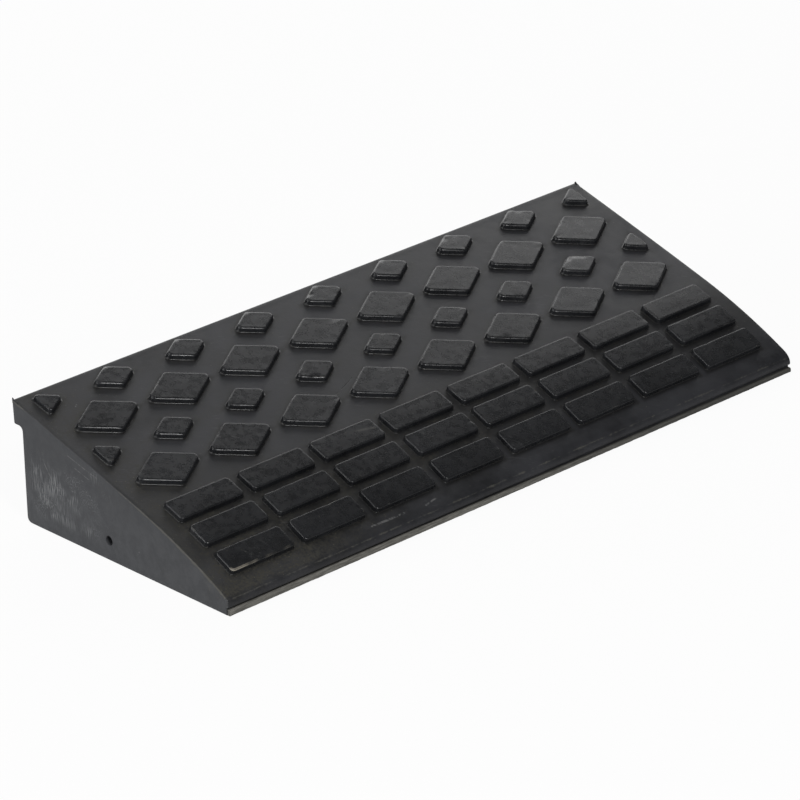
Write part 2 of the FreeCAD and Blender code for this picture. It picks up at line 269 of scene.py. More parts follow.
def stretched(tree, vector, scale, turn=(0.0, 0.0, 0.0)):
    node = addNode(tree, "Mapping", {"Vector": vector, "Scale": scale, "Rotation": turn})
    return node.outputs["Vector"]


# Shared effects.


def makeMouldedGrain():
    tree, start, end = newGroup("mouldedGrain", [
        ("Grain Scale", "Float", 1500.0),
        ("Ripple Scale", "Float", 160.0),
        ("Cloud Scale", "Float", 16.0),
    ], [("Height", "Float"), ("Clouds", "Float"), ("Mottle", "Float")])
    where = place(tree)
    fine = noiseOf(tree, where, start.outputs["Grain Scale"], 2.0)
    ripple = noiseOf(tree, where, start.outputs["Ripple Scale"], 3.0)
    clouds = noiseOf(tree, where, start.outputs["Cloud Scale"], 4.0, 0.6)
    mottle = noiseOf(tree, where, calc(tree, "MULTIPLY", start.outputs["Cloud Scale"], 7.0), 4.0, 0.65)
    height = calc(tree, "ADD", calc(tree, "MULTIPLY", fine, 0.35), calc(tree, "MULTIPLY", ripple, 0.65))
    tree.links.new(height, end.inputs["Height"])
    tree.links.new(ramped(tree, clouds, 0.3, 0.7), end.inputs["Clouds"])
    tree.links.new(ramped(tree, mottle, 0.32, 0.68), end.inputs["Mottle"])
    return tree


def makeFineDust():
    tree, start, end = newGroup("fineDust", [
        ("Amount", "Float", 0.5),
        ("Patch Scale", "Float", 45.0),
        ("Speck Scale", "Float", 480.0),
        ("Grit Scale", "Float", 520.0),
    ], [("Film", "Float"), ("Specks", "Float")])
    where = place(tree)
    amount = start.outputs["Amount"]
    patches = noiseOf(tree, where, start.outputs["Patch Scale"], 5.0, 0.65)
    grit = ramped(tree, noiseOf(tree, where, start.outputs["Grit Scale"], 3.0, 0.7), 0.36, 0.64, 0.25, 1.3)
    film = calc(tree, "MULTIPLY", amount, ramped(tree, patches, 0.28, 0.68, 0.25, 1.0))
    film = addNode(tree, "Clamp", {"Value": calc(tree, "MULTIPLY", film, grit)}).outputs[0]
    cells = addNode(tree, "TexVoronoi", {
        "Vector": where, "Scale": start.outputs["Speck Scale"], "Randomness": 1.0,
    })
    dot = ramped(tree, cells.outputs["Distance"], 0.1, 0.26, 1.0, 0.0)
    chosen = addNode(tree, "SeparateColor", {"Color": cells.outputs["Color"]}).outputs[0]
    share = calc(tree, "MULTIPLY", amount, 0.3)
    picked = calc(tree, "GREATER_THAN", chosen, calc(tree, "SUBTRACT", 1.0, share))
    specks = calc(tree, "MULTIPLY", dot, picked)
    tree.links.new(film, end.inputs["Film"])
    tree.links.new(specks, end.inputs["Specks"])
    return tree


def makeEdgeRub():
    tree, start, end = newGroup("edgeRub", [
        ("Edge", "Float", 0.0),
        ("Break Scale", "Float", 120.0),
        ("Spread", "Float", 0.5),
    ], [("Rub", "Float")])
    broken = noiseOf(tree, place(tree), start.outputs["Break Scale"], 5.0, 0.7)
    limit = calc(tree, "SUBTRACT", 1.0, start.outputs["Spread"])
    unevenness = calc(tree, "MULTIPLY", calc(tree, "SUBTRACT", broken, 0.5), 0.9)
    reach = calc(tree, "ADD", start.outputs["Edge"], unevenness)
    rub = ramped(tree, calc(tree, "SUBTRACT", reach, limit), 0.0, 0.22)
    tree.links.new(rub, end.inputs["Rub"])
    return tree


def makeDragScuffs():
    tree, start, end = newGroup("dragScuffs", [
        ("Along", "Vector", (60.0, 700.0, 700.0)),
        ("Turn", "Vector", (0.0, 0.0, 0.0)),
        ("Patch Scale", "Float", 30.0),
        ("Threshold", "Float", 0.62),
    ], [("Scuffs", "Float")])
    where = place(tree)
    turned = addNode(tree, "VectorRotate", {
        "Vector": where, "Rotation": start.outputs["Turn"],
    }, rotation_type="EULER_XYZ").outputs[0]
    long = addNode(tree, "VectorMath", operation="MULTIPLY")
    tree.links.new(turned, long.inputs[0])
    tree.links.new(start.outputs["Along"], long.inputs[1])
    hairs = noiseOf(tree, long.outputs[0], 1.0, 2.0, 0.5)
    patches = noiseOf(tree, where, start.outputs["Patch Scale"], 3.0)
    lines = ramped(tree, calc(tree, "SUBTRACT", hairs, start.outputs["Threshold"]), 0.0, 0.06)
    tree.links.new(calc(tree, "MULTIPLY", lines, ramped(tree, patches, 0.48, 0.62)), end.inputs["Scuffs"])
    return tree


def makeScratchLine():
    # one mark between two places, broken up along its length
    tree, start, end = newGroup("scratchLine", [
        ("From", "Vector", (0.0, 0.0, 0.0)),
        ("To", "Vector", (0.0, 0.0, 0.0)),
        ("Width", "Float", 0.001),
        ("Wander", "Float", 0.001),
    ], [("Mark", "Float")])
    where = place(tree)
    shake = addNode(tree, "TexNoise", {"Vector": where, "Scale": 90.0, "Detail": 2.0}).outputs["Color"]

    def vectorOf(operation, first, second=None):
        node = addNode(tree, "VectorMath", operation=operation)
        tree.links.new(first, node.inputs[0])
        if second is not None:
            tree.links.new(second, node.inputs[1])
        return node

    centred = addNode(tree, "VectorMath", {1: (0.5, 0.5, 0.5)}, operation="SUBTRACT")
    tree.links.new(shake, centred.inputs[0])
    scaled = addNode(tree, "VectorMath", operation="SCALE")
    tree.links.new(centred.outputs[0], scaled.inputs[0])
    tree.links.new(start.outputs["Wander"], scaled.inputs["Scale"])
    here = vectorOf("ADD", where, scaled.outputs[0]).outputs[0]
    reach = vectorOf("SUBTRACT", start.outputs["To"], start.outputs["From"]).outputs[0]
    offset = vectorOf("SUBTRACT", here, start.outputs["From"]).outputs[0]
    along = calc(tree, "DIVIDE",
                 vectorOf("DOT_PRODUCT", offset, reach).outputs["Value"],
                 vectorOf("DOT_PRODUCT", reach, reach).outputs["Value"])
    held = addNode(tree, "Clamp", {"Value": along}).outputs[0]
    nearest = addNode(tree, "VectorMath", operation="SCALE")
    tree.links.new(reach, nearest.inputs[0])
    tree.links.new(held, nearest.inputs["Scale"])
    gap = vectorOf("DISTANCE", offset, nearest.outputs[0]).outputs["Value"]
    share = calc(tree, "DIVIDE", gap, start.outputs["Width"])
    patchy = noiseOf(tree, where, 260.0, 3.0)
    tree.links.new(
        calc(tree, "MULTIPLY", ramped(tree, share, 0.35, 1.0, 1.0, 0.0), ramped(tree, patchy, 0.36, 0.56)),
        end.inputs["Mark"],
    )
    return tree


groups = {
    "grain": makeMouldedGrain(),
    "dust": makeFineDust(),
    "rub": makeEdgeRub(),
    "scuffs": makeDragScuffs(),
    "line": makeScratchLine(),
}
print("shared effects built")


def useGroup(tree, name, **inputs):
    node = tree.nodes.new("ShaderNodeGroup")
    node.node_tree = groups[name]
    for label, value in inputs.items():
        socket = node.inputs[label.replace("_", " ")]
        if isinstance(value, bpy.types.NodeSocket):
            tree.links.new(value, socket)
        else:
            socket.default_value = value
    return node.outputs


def mask(tree, name):
    return addNode(tree, "Attribute", attribute_name=name).outputs["Fac"]


def linesOf(tree, marks):
    total = None
    for start, end, width, wander in marks:
        drawn = useGroup(tree, "line", From=Vector(start) * mm, To=Vector(end) * mm,
                         Width=width * mm, Wander=wander * mm)["Mark"]
        total = drawn if total is None else calc(tree, "MAXIMUM", total, drawn)
    return total


def newMaterial(name, settings):
    material = bpy.data.materials.new(name)
    material.use_nodes = True
    tree = material.node_tree
    tree.nodes.clear()
    out = addNode(tree, "OutputMaterial")
    shader = addNode(tree, "BsdfPrincipled", settings)
    tree.links.new(shader.outputs[0], out.inputs["Surface"])
    return material, tree, shader


# Finishes.

mouldedRubber = {
    "colour": (0.014, 0.0145, 0.0165, 1),
    "lighter": (0.036, 0.037, 0.042, 1),
    "dust": (0.048, 0.045, 0.036, 1),
    "specks": (0.13, 0.12, 0.09, 1),
    "rubbed": (0.10, 0.097, 0.085, 1),
    "scuffed": (0.11, 0.11, 0.115, 1),
    "marked": (0.17, 0.17, 0.17, 1),
    "endRub": (0.21, 0.215, 0.22, 1),
    # dark marks, and the painted shade round the pads' feet and between the bars
    "stain": (0.006, 0.006, 0.006, 1),
    # the end faces' blue-grey tone, lightened as painted light from the left
    "paleFace": (0.072, 0.075, 0.081, 1),
    "roughness": 0.31,
    "dustRoughness": 0.78,
    "specular": 0.42,
    "bumpDistance": 0.00022,
}


deckScuffs = {
    "along": {"Along": (45.0, 620.0, 620.0), "Turn": (0.0, 0.0, 0.5)},
    "across": {"Along": (520.0, 60.0, 520.0), "Turn": (0.0, 0.0, -0.35), "Threshold": 0.66},
    "endStreaks": {"Along": (900.0, 1000.0, 95.0), "Patch_Scale": 42.0, "Threshold": 0.5},
    "endFlecks": {"Along": (1500.0, 1500.0, 700.0), "Patch_Scale": 75.0, "Threshold": 0.56},
}


def makeMouldedRubber(paleMarks, darkMarks):
    finish = mouldedRubber
    material, tree, shader = newMaterial("mouldedRubber", {"Specular IOR Level": finish["specular"]})
    grain = useGroup(tree, "grain")
    dust = useGroup(tree, "dust", Amount=mask(tree, "dustFilm"))
    rub = useGroup(tree, "rub", Edge=mask(tree, "wornEdge"), Spread=0.5)["Rub"]
    scuffs = useGroup(tree, "scuffs", **deckScuffs["along"])["Scuffs"]
    crossing = useGroup(tree, "scuffs", **deckScuffs["across"])["Scuffs"]
    streaks = useGroup(tree, "scuffs", **deckScuffs["endStreaks"])["Scuffs"]
    flecks = useGroup(tree, "scuffs", **deckScuffs["endFlecks"])["Scuffs"]
    endScuff = calc(tree, "MULTIPLY", calc(tree, "MAXIMUM", streaks, flecks), mask(tree, "endStreaks"))
    colour = mixColour(tree, grain["Clouds"], finish["colour"], finish["lighter"])
    colour = mixColour(tree, calc(tree, "MULTIPLY", grain["Mottle"], 0.35), colour, finish["lighter"])
    # end faces painted paler and mottled: their blue-grey tone plus painted light from the left
    colour = mixColour(tree, mask(tree, "paleFace"), colour, finish["paleFace"])
    mottled = calc(tree, "MULTIPLY", mask(tree, "paleFace"), calc(tree, "MULTIPLY", grain["Mottle"], 0.4))
    colour = mixColour(tree, mottled, colour, finish["lighter"])
    # painted contact shadow and grime round the pads' feet, and painted shade on the deck between the bars
    colour = mixColour(tree, calc(tree, "MULTIPLY", mask(tree, "footShade"), 0.85), colour, finish["stain"])
    colour = mixColour(tree, dust["Film"], colour, finish["dust"])
    bothScuffs = calc(tree, "MAXIMUM", scuffs, crossing)
    colour = mixColour(tree, calc(tree, "MULTIPLY", bothScuffs, 0.16), colour, finish["scuffed"])
    colour = mixColour(tree, endScuff, colour, finish["endRub"])
    colour = mixColour(tree, calc(tree, "MULTIPLY", dust["Specks"], 0.5), colour, finish["specks"])
    colour = mixColour(tree, calc(tree, "MULTIPLY", rub, 0.75), colour, finish["rubbed"])
    stain = calc(tree, "MULTIPLY", linesOf(tree, darkMarks), 0.85)
    pale = calc(tree, "MULTIPLY", linesOf(tree, paleMarks), 0.7)
    colour = mixColour(tree, stain, colour, finish["stain"])
    colour = mixColour(tree, pale, colour, finish["marked"])
    tree.links.new(colour, shader.inputs["Base Color"])
    rough = calc(tree, "ADD", finish["roughness"], calc(tree, "MULTIPLY", grain["Mottle"], 0.09))
    rough = calc(tree, "ADD", rough, calc(tree, "MULTIPLY", grain["Clouds"], 0.13))
    film = calc(tree, "MULTIPLY", dust["Film"], finish["dustRoughness"] - finish["roughness"])
    tree.links.new(calc(tree, "ADD", rough, film), shader.inputs["Roughness"])
    height = calc(tree, "ADD", grain["Height"], calc(tree, "MULTIPLY", stain, -1.2))
    height = calc(tree, "SUBTRACT", height, calc(tree, "MULTIPLY", bothScuffs, 0.12))
    bump = addNode(tree, "Bump", {"Strength": 0.6, "Distance": finish["bumpDistance"], "Height": height})
    tree.links.new(bump.outputs[0], shader.inputs["Normal"])
    return material


treadRubber = {
    "colour": (0.0065, 0.007, 0.0085, 1),
    "lighter": (0.015, 0.016, 0.0185, 1),
    "dust": (0.027, 0.0255, 0.021, 1),
    "specks": (0.12, 0.11, 0.085, 1),
    "rubbed": (0.11, 0.108, 0.10, 1),
    "cream": (0.36, 0.33, 0.27, 1),
    "scuffed": (0.09, 0.09, 0.094, 1),
    "roughness": 0.23,
    "specular": 0.5,
    "bumpDistance": 0.0002,
}


treadScuffs = {
    "along": {"Along": (55.0, 640.0, 640.0), "Turn": (0.0, 0.0, 0.9), "Threshold": 0.6},
    "across": {"Along": (560.0, 70.0, 560.0), "Turn": (0.0, 0.0, -0.2), "Threshold": 0.63},
}


def makeTreadRubber(name, paleMarks, dustShare):
    finish = treadRubber
    material, tree, shader = newMaterial(name, {"Specular IOR Level": finish["specular"]})
    grain = useGroup(tree, "grain", Cloud_Scale=22.0)
    foot = mask(tree, "footDust")
    top = calc(tree, "MULTIPLY", mask(tree, "topDust"), dustShare)
    dust = useGroup(tree, "dust", Amount=calc(tree, "ADD", foot, top))
    rub = useGroup(tree, "rub", Edge=mask(tree, "wornEdge"), Spread=0.36, Break_Scale=95.0)["Rub"]
    scuffs = useGroup(tree, "scuffs", **treadScuffs["along"])["Scuffs"]
    crossing = useGroup(tree, "scuffs", **treadScuffs["across"])["Scuffs"]
    colour = mixColour(tree, grain["Clouds"], finish["colour"], finish["lighter"])
    colour = mixColour(tree, calc(tree, "MULTIPLY", grain["Mottle"], 0.3), colour, finish["lighter"])
    colour = mixColour(tree, dust["Film"], colour, finish["dust"])
    bothScuffs = calc(tree, "MAXIMUM", scuffs, crossing)
    colour = mixColour(tree, calc(tree, "MULTIPLY", bothScuffs, 0.2), colour, finish["scuffed"])
    colour = mixColour(tree, calc(tree, "MULTIPLY", dust["Specks"], 0.45), colour, finish["specks"])
    colour = mixColour(tree, calc(tree, "MULTIPLY", rub, 0.6), colour, finish["rubbed"])
    colour = mixColour(tree, mask(tree, "creamEdge"), colour, finish["cream"])
    pale = calc(tree, "MULTIPLY", linesOf(tree, paleMarks), 0.5)
    colour = mixColour(tree, pale, colour, finish["rubbed"])
    tree.links.new(colour, shader.inputs["Base Color"])
    rough = calc(tree, "ADD", finish["roughness"], calc(tree, "MULTIPLY", grain["Mottle"], 0.10))
    rough = calc(tree, "ADD", rough, calc(tree, "MULTIPLY", dust["Film"], 0.05))
    tree.links.new(rough, shader.inputs["Roughness"])
    bump = addNode(tree, "Bump", {
        "Strength": 0.3, "Distance": finish["bumpDistance"], "Height": grain["Height"],
    })
    tree.links.new(bump.outputs[0], shader.inputs["Normal"])
    return material


trimmedRubber = {
    "colour": (0.12, 0.117, 0.105, 1),
    "lighter": (0.27, 0.262, 0.238, 1),
    # painted shadow under the skin's nose
    "dark": (0.012, 0.012, 0.011, 1),
    "faded": (0.055, 0.055, 0.052, 1),
    "roughness": 0.82,
    "specular": 0.25,
    "bumpDistance": 0.0004,
}


def makeTrimmedRubber():
    finish = trimmedRubber
    material, tree, shader = newMaterial("trimmedRubber", {
        "Roughness": finish["roughness"], "Specular IOR Level": finish["specular"],
    })
    grain = useGroup(tree, "grain", Grain_Scale=900.0, Cloud_Scale=11.0)
    where = place(tree)
    streaky = noiseOf(tree, stretched(tree, where, (70.0, 900.0, 900.0)), 1.0, 4.0, 0.6)
    colour = mixColour(tree, ramped(tree, streaky, 0.32, 0.66), finish["colour"], finish["lighter"])
    colour = mixColour(tree, calc(tree, "MULTIPLY", grain["Mottle"], 0.4), colour, finish["colour"])
    # painted shadow on the strip's back top, where the skin's nose overhangs it
    colour = mixColour(tree, mask(tree, "grimeSeam"), colour, finish["dark"])
    colour = mixColour(tree, mask(tree, "trimFade"), colour, finish["faded"])
    tree.links.new(colour, shader.inputs["Base Color"])
    height = calc(tree, "ADD", grain["Height"], calc(tree, "MULTIPLY", streaky, 1.4))
    bump = addNode(tree, "Bump", {"Strength": 0.8, "Distance": finish["bumpDistance"], "Height": height})
    tree.links.new(bump.outputs[0], shader.inputs["Normal"])
    return material


# The tread layout, read from the frame.

tread = {
    "columns": 8,
    "height": 4.4,
    "draft": math.radians(11),
    "bevel": 1.5,
    "corner": 4.4,
    "largeDiamond": (33.1, 20.9),  # half lengths at the foot
    "smallDiamond": (21.7, 13.7),
    "bar": (31.5, 11.5),
    "footFlare": 0.75,
}


def runOfPad(node):
    low, high = boxOf(node)
    middle = (low.y + high.y) / 2 - toeLine
    slope = deckAt(middle)[1]
    return middle + tread["height"] / 2 * math.sin(slope)


padList = []


def listPads():
    for row in ("back", "front"):
        for column in range(1, tread["columns"] + 1):
            node = "large_diamond_%s_%d" % (row, column)
            low, high = boxOf(node)
            padList.append(("large", node, (low.x + high.x) / 2, runOfPad(node), 0))
        for column in range(1, tread["columns"]):
            node = "small_diamond_%s_%d" % (row, column)
            low, high = boxOf(node)
            padList.append(("small", node, (low.x + high.x) / 2, runOfPad(node), 0))
        smallRun = runOfPad("small_diamond_%s_1" % row)
        for side, way in (("left", 1), ("right", -1)):
            node = "half_diamond_%s_%s" % (row, side)
            low, high = boxOf(node)
            padList.append(("half", node, low.x if way > 0 else high.x, smallRun, way))
    start = boxOf("half_diamond_back_left")[0].x
    pitch = -2 * start / tread["columns"]
    for row in ("back", "middle", "front"):
        node = "tread_bars_%s_row" % row
        for column in range(tread["columns"]):
            middle = start + pitch * (column + 0.5)
            padList.append(("bar", node, middle, runOfPad(node), column + 1))


listPads()


def footprint(kind, way):
    if kind == "bar":
        across, along = tread["bar"]
        return [(-across, -along), (across, -along), (across, along), (-across, along)]
    across, along = tread["largeDiamond" if kind == "large" else "smallDiamond"]
    if kind == "half":
        corners = [(0.0, -along), (across * way, 0.0), (0.0, along)]
        return corners if way > 0 else corners[::-1]
    return [(-across, 0.0), (0.0, -along), (across, 0.0), (0.0, along)]


def insetCorners(corners, inset):
    count = len(corners)
    sides = []
    for index in range(count):
        (ax, ay), (bx, by) = corners[index], corners[(index + 1) % count]
        length = math.hypot(bx - ax, by - ay)
        normal = (-(by - ay) / length, (bx - ax) / length)  # points inward, corners run anticlockwise
        sides.append((normal, normal[0] * ax + normal[1] * ay + inset))
    moved = []
    for index in range(count):
        (nx, ny), reach = sides[index - 1]
        (mx, my), other = sides[index]
        cross = nx * my - ny * mx
        moved.append(((reach * my - other * ny) / cross, (nx * other - mx * reach) / cross))
    return moved


def roundedOutline(corners, radius, sideSteps, cornerSteps=6):
    count = len(corners)
    points = []
    for index in range(count):
        here = Vector(corners[index])
        before = (Vector(corners[index - 1]) - here).normalized()
        after = (Vector(corners[(index + 1) % count]) - here).normalized()
        halfAngle = before.angle(after) / 2
        reach = radius / math.tan(halfAngle)
        start, end = here + before * reach, here + after * reach
        middle = here + (before + after).normalized() * (radius / math.sin(halfAngle))
        first = (start - middle).angle_signed(end - middle)
        for step in range(cornerSteps + 1):
            turn = Matrix.Rotation(-first * step / cornerSteps, 2)
            points.append(middle + turn @ (start - middle))
        nextHere = Vector(corners[(index + 1) % count])
        nextAfter = (Vector(corners[(index + 2) % count]) - nextHere).normalized()
        nextReach = radius / math.tan((-after).angle(nextAfter) / 2)
        goal = nextHere - after * nextReach
        for step in range(1, sideSteps):
            points.append(end.lerp(goal, step / sideSteps))
    return points


def distanceOutside(kind, way, across, along):
    corners = footprint(kind, way)
    count = len(corners)
    worst = np.full(np.shape(across), -1e9)
    for index in range(count):
        (ax, ay), (bx, by) = corners[index], corners[(index + 1) % count]
        length = math.hypot(bx - ax, by - ay)
        worst = np.maximum(worst, ((across - ax) * (by - ay) - (along - ay) * (bx - ax)) / length)
    return worst


# The moulding: skin, nosing, walls and ribbed hollow in one surface.


def skinProfile():
    setback = ramp["toeSetback"]
    back = setback + ramp["grooveDepth"]
    points = [(back, 0.0), (back, 2.8), (back, ramp["grooveBottom"])]
    points += bendBetween(
        (back - 0.7, ramp["grooveBottom"] + 0.3),
        (setback, ramp["grooveBottom"] + 0.5),
        (setback, ramp["grooveTop"] + 0.4),
        4,
    )
    rounding = setback + ramp["toeRounding"]
    noseTop = max(ramp["toeHeight"] - ramp["toeRounding"] * 0.95, ramp["grooveTop"] + 0.6)
    points += bendBetween((setback, noseTop), toePoint, (rounding, deckAt(rounding)[0]), 7)
    lastRun = depth - ramp["nosingRounding"]
    for run, _ in stepsBetween((rounding, 0), (lastRun, 0), ramp["deckStep"]):
        points.append((run, deckAt(run)[0]))
    under = ramp["deckHeight"] - ramp["nosingDrop"]
    lip = ramp["nosingRounding"]
    points += bendBetween(
        (lastRun, deckAt(lastRun)[0]), (depth, kerbPoint.y), (depth, kerbPoint.y - lip - 0.4), 6
    )
    points += stepsBetween((depth, kerbPoint.y - lip), (depth, under + lip), 3.0)
    points += bendBetween((depth, under + lip), (depth, under), (depth - lip, under), 5)
    wall = depth - ramp["overhang"]
    cove = ramp["cove"]
    points += bendBetween(
        (wall + cove - 0.4, under), (wall, under), (wall + 0.25, under - cove), 7
    )
    foot = wall + ramp["wallLean"]
    heel = ramp["heel"]
    points += stepsBetween((wall + 0.25, under - cove), (foot - 0.3, heel), 4.0)
    points += bendBetween((foot - 0.3, heel), (foot, 0.0), (foot - heel, 0.0), 7)
    bottom = stepsBetween(points[-1], points[0], 4.0)
    return points, bottom


def inwardNormals(points):
    normals = []
    count = len(points)
    for index in range(count):
        before, here, after = (Vector(points[(index + step) % count]) for step in (-1, 0, 1))
        a = (here - before).normalized()
        b = (after - here).normalized()
        normals.append(((a.y + b.y), -(a.x + b.x)))
    return [Vector(normal).normalized() for normal in normals]


def endStations():
    # outward distance past the last full section, and how far the section has drawn in there
    rounding = ramp["edgeRounding"]
    return [
        (rounding * math.sin(math.radians(angle)), rounding * (1 - math.cos(math.radians(angle))))
        for angle in (30, 60, 90)
    ]


hollow = {
    "deckThickness": 12.0,
    "wall": 12.0,
    "rib": 10.0,
    "ribs": 5,
    "frontRun": 14.0,
    "draft": 1.2,  # that the pockets narrow on each side by their ceiling
    "rimRounding": 0.9,
    "corner": 6.0,
    "fillet": 3.5,
}


def pocketPlans():
    inner = 2 * (halfLength - hollow["wall"])
    bay = (inner - hollow["rib"] * hollow["ribs"]) / (hollow["ribs"] + 1)
    wallFront = depth - ramp["overhang"] - hollow["wall"]
    middle = (ramp["bendRun"] + wallFront - hollow["rib"]) / 2
    plans = []
    for index in range(hollow["ribs"] + 1):
        start = -inner / 2 + (bay + hollow["rib"]) * index
        for low, high in ((hollow["frontRun"], middle), (middle + hollow["rib"], wallFront)):
            plans.append((start, start + bay, low, high))
    return plans


def pocketLoop(plan, inset):
    left, right, low, high = plan
    corners = [(left, low), (right, low), (right, high), (left, high)]
    radius = max(hollow["corner"] - inset * 0.5, 1.5)
    return roundedOutline(insetCorners(corners, inset), radius, 12, 5)


def addPockets(points, faces):
    rims = []
    for plan in pocketPlans():
        left, right, low, high = plan
        centre = Vector(((left + right) / 2, (low + high) / 2))
        loops = []

        def ceiling(run):
            return deckAt(run, hollow["deckThickness"])[0]

        def addLoop(flat, heights):
            first = len(points)
            for (x, run), height in zip(flat, heights):
                points.append((x, run + toeLine, height))
            loops.append(list(range(first, first + len(flat))))

        rim = hollow["rimRounding"]
        for inset, height in ((-rim, 0.0), (-rim * 0.35, rim * 0.35), (0.0, rim)):
            flat = pocketLoop(plan, inset)
            addLoop(flat, [min(height, ceiling(run) * 0.6) for _, run in flat])
        rims.append(pocketLoop(plan, -rim))
        for share in (0.2, 0.45, 0.7):
            flat = pocketLoop(plan, hollow["draft"] * share)
            addLoop(flat, [rim + (max(ceiling(run), 1.5) - rim) * share * 0.92 for _, run in flat])
        for inset, drop in ((0.0, 1.0), (0.12, 0.45), (0.45, 0.12), (1.0, 0.0)):
            flat = pocketLoop(plan, hollow["draft"] + hollow["fillet"] * inset)
            addLoop(flat, [
                ceiling(run) - drop * min(hollow["fillet"], ceiling(run) * 0.3) for _, run in flat
            ])
        lastFlat = flat
        for scale in (0.8, 0.6, 0.4, 0.2):
            shrunk = [centre + (Vector(point) - centre) * scale for point in lastFlat]
            addLoop(shrunk, [ceiling(run) for _, run in shrunk])
        for first, second in zip(loops, loops[1:]):
            bridge(faces, first, second)
        top = len(points)
        points.append((centre.x, centre.y + toeLine, ceiling(centre.y)))
        last = loops[-1]
        for index in range(len(last)):
            faces.append((last[index], last[(index + 1) % len(last)], top))
    return rims


def insideLoop(loop, x, y):
    odd = False
    count = len(loop)
    for index in range(count):
        (ax, ay), (bx, by) = loop[index], loop[index - 1]
        if (ay > y) != (by > y) and x < (bx - ax) * (y - ay) / (by - ay) + ax:
            odd = not odd
    return odd


def fillFlat(outer, holes, extra):
    # triangles between a closed outline and the holes in it
    flat = [Vector(point) for point in outer]
    edges = [(index, (index + 1) % len(outer)) for index in range(len(outer))]
    for hole in holes:
        first = len(flat)
        flat += [Vector(point) for point in hole]
        edges += [(first + index, first + (index + 1) % len(hole)) for index in range(len(hole))]
    flat += [Vector(point) for point in extra]
    places, _, triangles, _, _, _ = delaunay_2d_cdt(flat, edges, [], 1, 1e-5)
    kept = []
    for triangle in triangles:
        centre = sum((places[index] for index in triangle), Vector((0, 0))) / len(triangle)
        if not any(insideLoop(hole, centre.x, centre.y) for hole in holes):
            kept.append(triangle)
    return places, kept


def endLattice():
    # points over an end face, so that its dust and scuffs have somewhere to sit
    spacing = ramp["endSpacing"]
    nosingBottom = ramp["deckHeight"] - ramp["nosingDrop"]
    lattice = []
    for across in range(1, 90):
        for up in range(1, 40):
            y = toeLine + across * spacing + (up % 2) * spacing / 2
            z = up * spacing * 0.87
            run = y - toeLine
            top = deckAt(min(max(run, 3), depth))[0]
            inWall = run < depth - ramp["overhang"] - 1 or z > nosingBottom + 2.5
            if 6 < run < depth - 2.5 and 2.5 < z < top - 2.6 and inWall:
                lattice.append((y, z))
    return lattice


def makeMoulding(material):
    skin, bottom = skinProfile()
    outline = skin + bottom
    normals = inwardNormals(outline)
    full = halfLength - ramp["edgeRounding"]
    count = round(2 * full / ramp["stationStep"])
    stations = [full * (2 * index / count - 1) for index in range(count + 1)]
    points, faces = [], []

    def addSection(x, inset, section):
        first = len(points)
        for (run, height), normal in list(zip(outline, normals))[:section]:
            run, height = run + normal.x * inset, height + normal.y * inset
            onDeck = 8 < run < depth - 6 and height > 12 + 0.28 * run
            sink = 0.16 * (cloud(x, run, 0, 46, 3) + 1) / 2 if onDeck else 0
            points.append((x, run + toeLine, height - sink))
        return list(range(first, first + section))

    full = len(outline)
    previous = None
    for x in stations:
        ends = x in (stations[0], stations[-1])
        row = addSection(x, 0, full if ends else len(skin))
        if previous is not None:
            bridge(faces, previous[:len(skin)], row[:len(skin)], closed=False)
        if x == stations[0]:
            firstRow = row
        previous = row
    for row, side in ((firstRow, -1), (previous, 1)):
        for past, drawnIn in endStations():
            nextRow = addSection(side * (stations[-1] + past), drawnIn, full)
            bridge(faces, row, nextRow)
            row = nextRow
        edge = [(points[index][1], points[index][2]) for index in row]
        places, triangles = fillFlat(edge, [], endLattice())
        first = len(points)
        points.extend((side * halfLength, y, z) for y, z in places)
        faces.extend(tuple(first + index for index in triangle) for triangle in triangles)
    rims = addPockets(points, faces)
    frontEdge = [(x, skin[0][0]) for x in stations]
    backEdge = [(x, skin[-1][0]) for x in reversed(stations)]
    sideRuns = [run for run, _ in bottom]
    around = frontEdge + [(stations[-1], run) for run in reversed(sideRuns)]
    around += backEdge + [(stations[0], run) for run in sideRuns]
    places, triangles = fillFlat(around, rims, [])
    first = len(points)
    points.extend((x, run + toeLine, 0.0) for x, run in places)
    faces.extend(tuple(first + index for index in triangle) for triangle in triangles)
    nodes = ["back_deck", "front_deck", "kerb_nosing", "left_end_wall", "right_end_wall", "kerb_wall"]
    nodes += ["cross_rib_%d" % (index + 1) for index in range(hollow["ribs"])]
    nodes += ["long_rib_bay_%d" % (index + 1) for index in range(hollow["ribs"] + 1)]
    piece = makePiece("rampMoulding", points, faces, material, nodes)
    cutJoiningHoles(piece)
    return piece


joiningHole = {"run": 140.0, "height": 17.0, "radius": 4.0, "sides": 28}


def cutJoiningHoles(piece):
    for side in (-1, 1):
        work = bmesh.new()
        turn = Matrix.Rotation(math.radians(90), 4, "Y")
        middle = Vector((side * (halfLength - 4), joiningHole["run"] + toeLine, joiningHole["height"]))
        bmesh.ops.create_cone(
            work, cap_ends=True, segments=joiningHole["sides"], depth=24 * mm,
            radius1=joiningHole["radius"] * mm, radius2=joiningHole["radius"] * mm,
            matrix=Matrix.Translation(middle * mm) @ turn,
        )
        mesh = bpy.data.meshes.new("holeCutter")
        work.to_mesh(mesh)
        work.free()
        cutter = bpy.data.objects.new("holeCutter", mesh)
        scene.collection.objects.link(cutter)
        cut = piece.modifiers.new("joiningHole", "BOOLEAN")
        cut.operation = "DIFFERENCE"
        cut.solver = "EXACT"
        cut.object = cutter
        bpy.context.view_layer.update()
        depsgraph = bpy.context.evaluated_depsgraph_get()
        mesh = bpy.data.meshes.new_from_object(piece.evaluated_get(depsgraph))
        piece.modifiers.clear()
        piece.data = mesh
        bpy.data.objects.remove(cutter)
    piece.data.set_sharp_from_angle(angle=math.radians(38))


